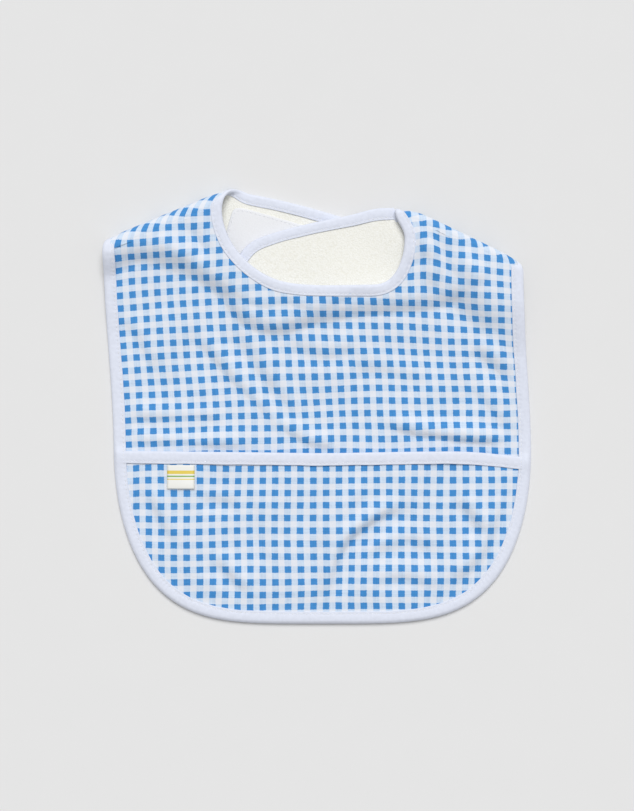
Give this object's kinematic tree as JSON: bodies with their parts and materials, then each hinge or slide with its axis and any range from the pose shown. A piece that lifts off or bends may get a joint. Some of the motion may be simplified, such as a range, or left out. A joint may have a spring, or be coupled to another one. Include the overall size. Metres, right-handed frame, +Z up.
{
  "type": "baby bib",
  "caption": "Gingham baby bib with a catch pocket, bound edges and terry lining, both neck straps folded under at the shoulders and crossing in the neck opening.",
  "frame": {"origin": "middle of the base: the centre of the bounding box in plan, on the table", "axes": "+Z up off the table, +Y towards the neck opening, +X to the right when the bib is read from the front"},
  "size_m": [0.2714, 0.2766, 0.0146],
  "materials": {
    "gingham": "plain woven cotton in blue and white checks",
    "barrier": "thin waterproof film",
    "terry": "short-loop cotton terry, off-white",
    "tape": "folded cotton binding tape, white",
    "thread": "white sewing thread",
    "hook_loop": "white hook-and-loop patch",
    "satin": null
  },
  "bodies": {
    "front": {"front_shell": "gingham", "front_barrier": "barrier", "front_lining": "terry", "hem_binding": "tape", "hem_seam": "thread", "neck_binding": "tape", "neck_seam": "thread", "left_fold_shell": "gingham", "left_fold_barrier": "barrier", "left_fold_lining": "terry", "left_fold_hem_binding": "tape", "left_fold_neck_binding": "tape", "right_fold_shell": "gingham", "right_fold_barrier": "barrier", "right_fold_lining": "terry", "right_fold_hem_binding": "tape", "right_fold_neck_binding": "tape"},
    "pocket": {"pocket_panel": "gingham", "pocket_binding": "tape", "pocket_seam": "thread"},
    "label": {"label": "satin"},
    "left_strap": {"left_strap_shell": "gingham", "left_strap_barrier": "barrier", "left_strap_lining": "terry", "left_strap_binding": "tape", "left_strap_seam": "thread", "loop_patch": "hook_loop", "loop_patch_seam": "thread"},
    "right_strap": {"right_strap_shell": "gingham", "right_strap_barrier": "barrier", "right_strap_lining": "terry", "right_strap_binding": "tape", "right_strap_seam": "thread", "hook_patch": "hook_loop"}
  },
  "joints": [
    {"name": "left_strap_fold", "type": "hinge", "parent": "front", "child": "left_strap", "pos_m": [-0.06046, 0.13164, 0.007], "axis": [0.9245, 0.3811, 0], "range_deg": [0, 177], "deforming": ["left_fold_shell", "left_fold_barrier", "left_fold_lining", "left_fold_hem_binding", "left_fold_neck_binding"]},
    {"name": "right_strap_settle", "type": "hinge", "parent": "front", "child": "right_strap", "pos_m": [0.05073, 0.12518, 0.0095], "axis": [0.9018, -0.4321, 0], "range_deg": [0, 2.4], "deforming": ["right_fold_shell", "right_fold_barrier", "right_fold_lining", "right_fold_hem_binding", "right_fold_neck_binding"]},
    {"name": "pocket_gape", "type": "hinge", "parent": "front", "child": "pocket", "pos_m": [0.00041, -0.12999, 0.0043], "axis": [1, 0, 0], "range_deg": [0, 12]},
    {"name": "label_flap", "type": "hinge", "parent": "pocket", "child": "label", "pos_m": [-0.08589, -0.03883, 0.0061], "axis": [-1, 0, 0], "range_deg": [0, 150]}
  ],
  "couplings": [
    {"joint": "right_strap_settle", "follows": "left_strap_fold", "ratio": 0.0135}
  ]
}
